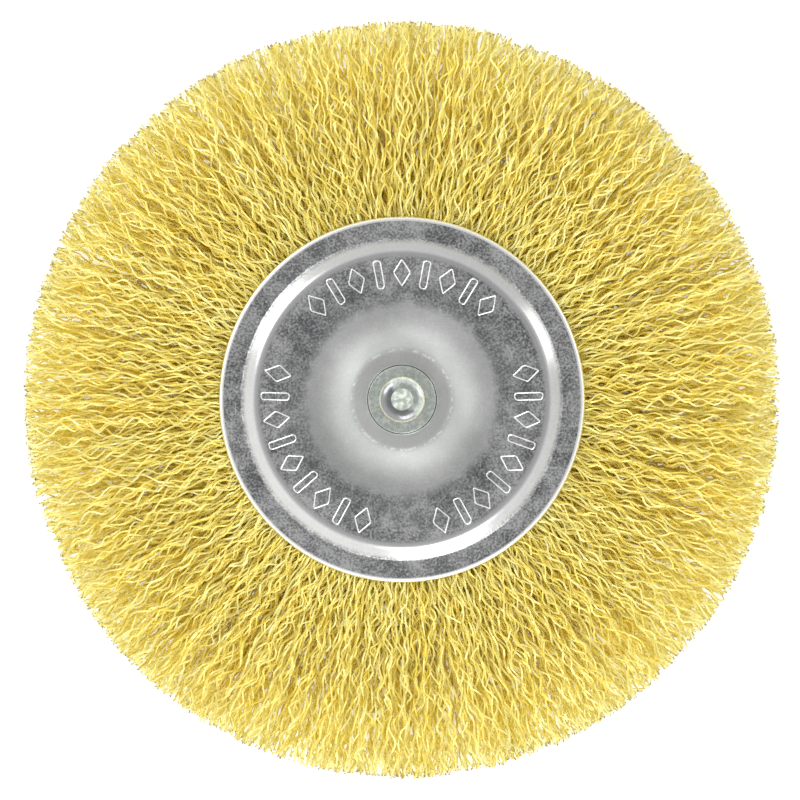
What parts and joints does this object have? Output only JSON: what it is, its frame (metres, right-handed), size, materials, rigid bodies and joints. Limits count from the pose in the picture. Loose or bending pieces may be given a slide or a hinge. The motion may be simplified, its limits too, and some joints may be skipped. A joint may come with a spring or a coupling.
{
  "type": "wire wheel brush",
  "caption": "Crimped brass-coated wire wheel brush on a plain round shank, its wires clamped between two pressed steel plates.",
  "frame": {"origin": "centre of the circle on which the rear plate's flat ring rests, at the brush's lowest point", "axes": "+Z along the spindle, from the rear plate up the shank to its nose; X and Y lie in the plane of the wheel"},
  "size_m": [0.0998, 0.1, 0.0452],
  "materials": {
    "plates": "zinc-plated sheet, mottled, lightly scratched",
    "spindle": "turned, zinc-plated with a slight green tint",
    "inner_steel": "plain steel",
    "wires": "bright drawn wire, brass coated"
  },
  "bodies": {
    "root": {"front_plate": "plates", "rear_plate": "plates", "spindle": "spindle", "spacer_tube": "inner_steel", "core_hoop": "inner_steel", "wire_bundle_01": "wires", "wire_bundle_02": "wires", "wire_bundle_03": "wires", "wire_bundle_04": "wires", "wire_bundle_05": "wires", "wire_bundle_06": "wires", "wire_bundle_07": "wires", "wire_bundle_08": "wires", "wire_bundle_09": "wires", "wire_bundle_10": "wires", "wire_bundle_11": "wires", "wire_bundle_12": "wires", "wire_bundle_13": "wires", "wire_bundle_14": "wires", "wire_bundle_15": "wires", "wire_bundle_16": "wires"}
  },
  "joints": []
}
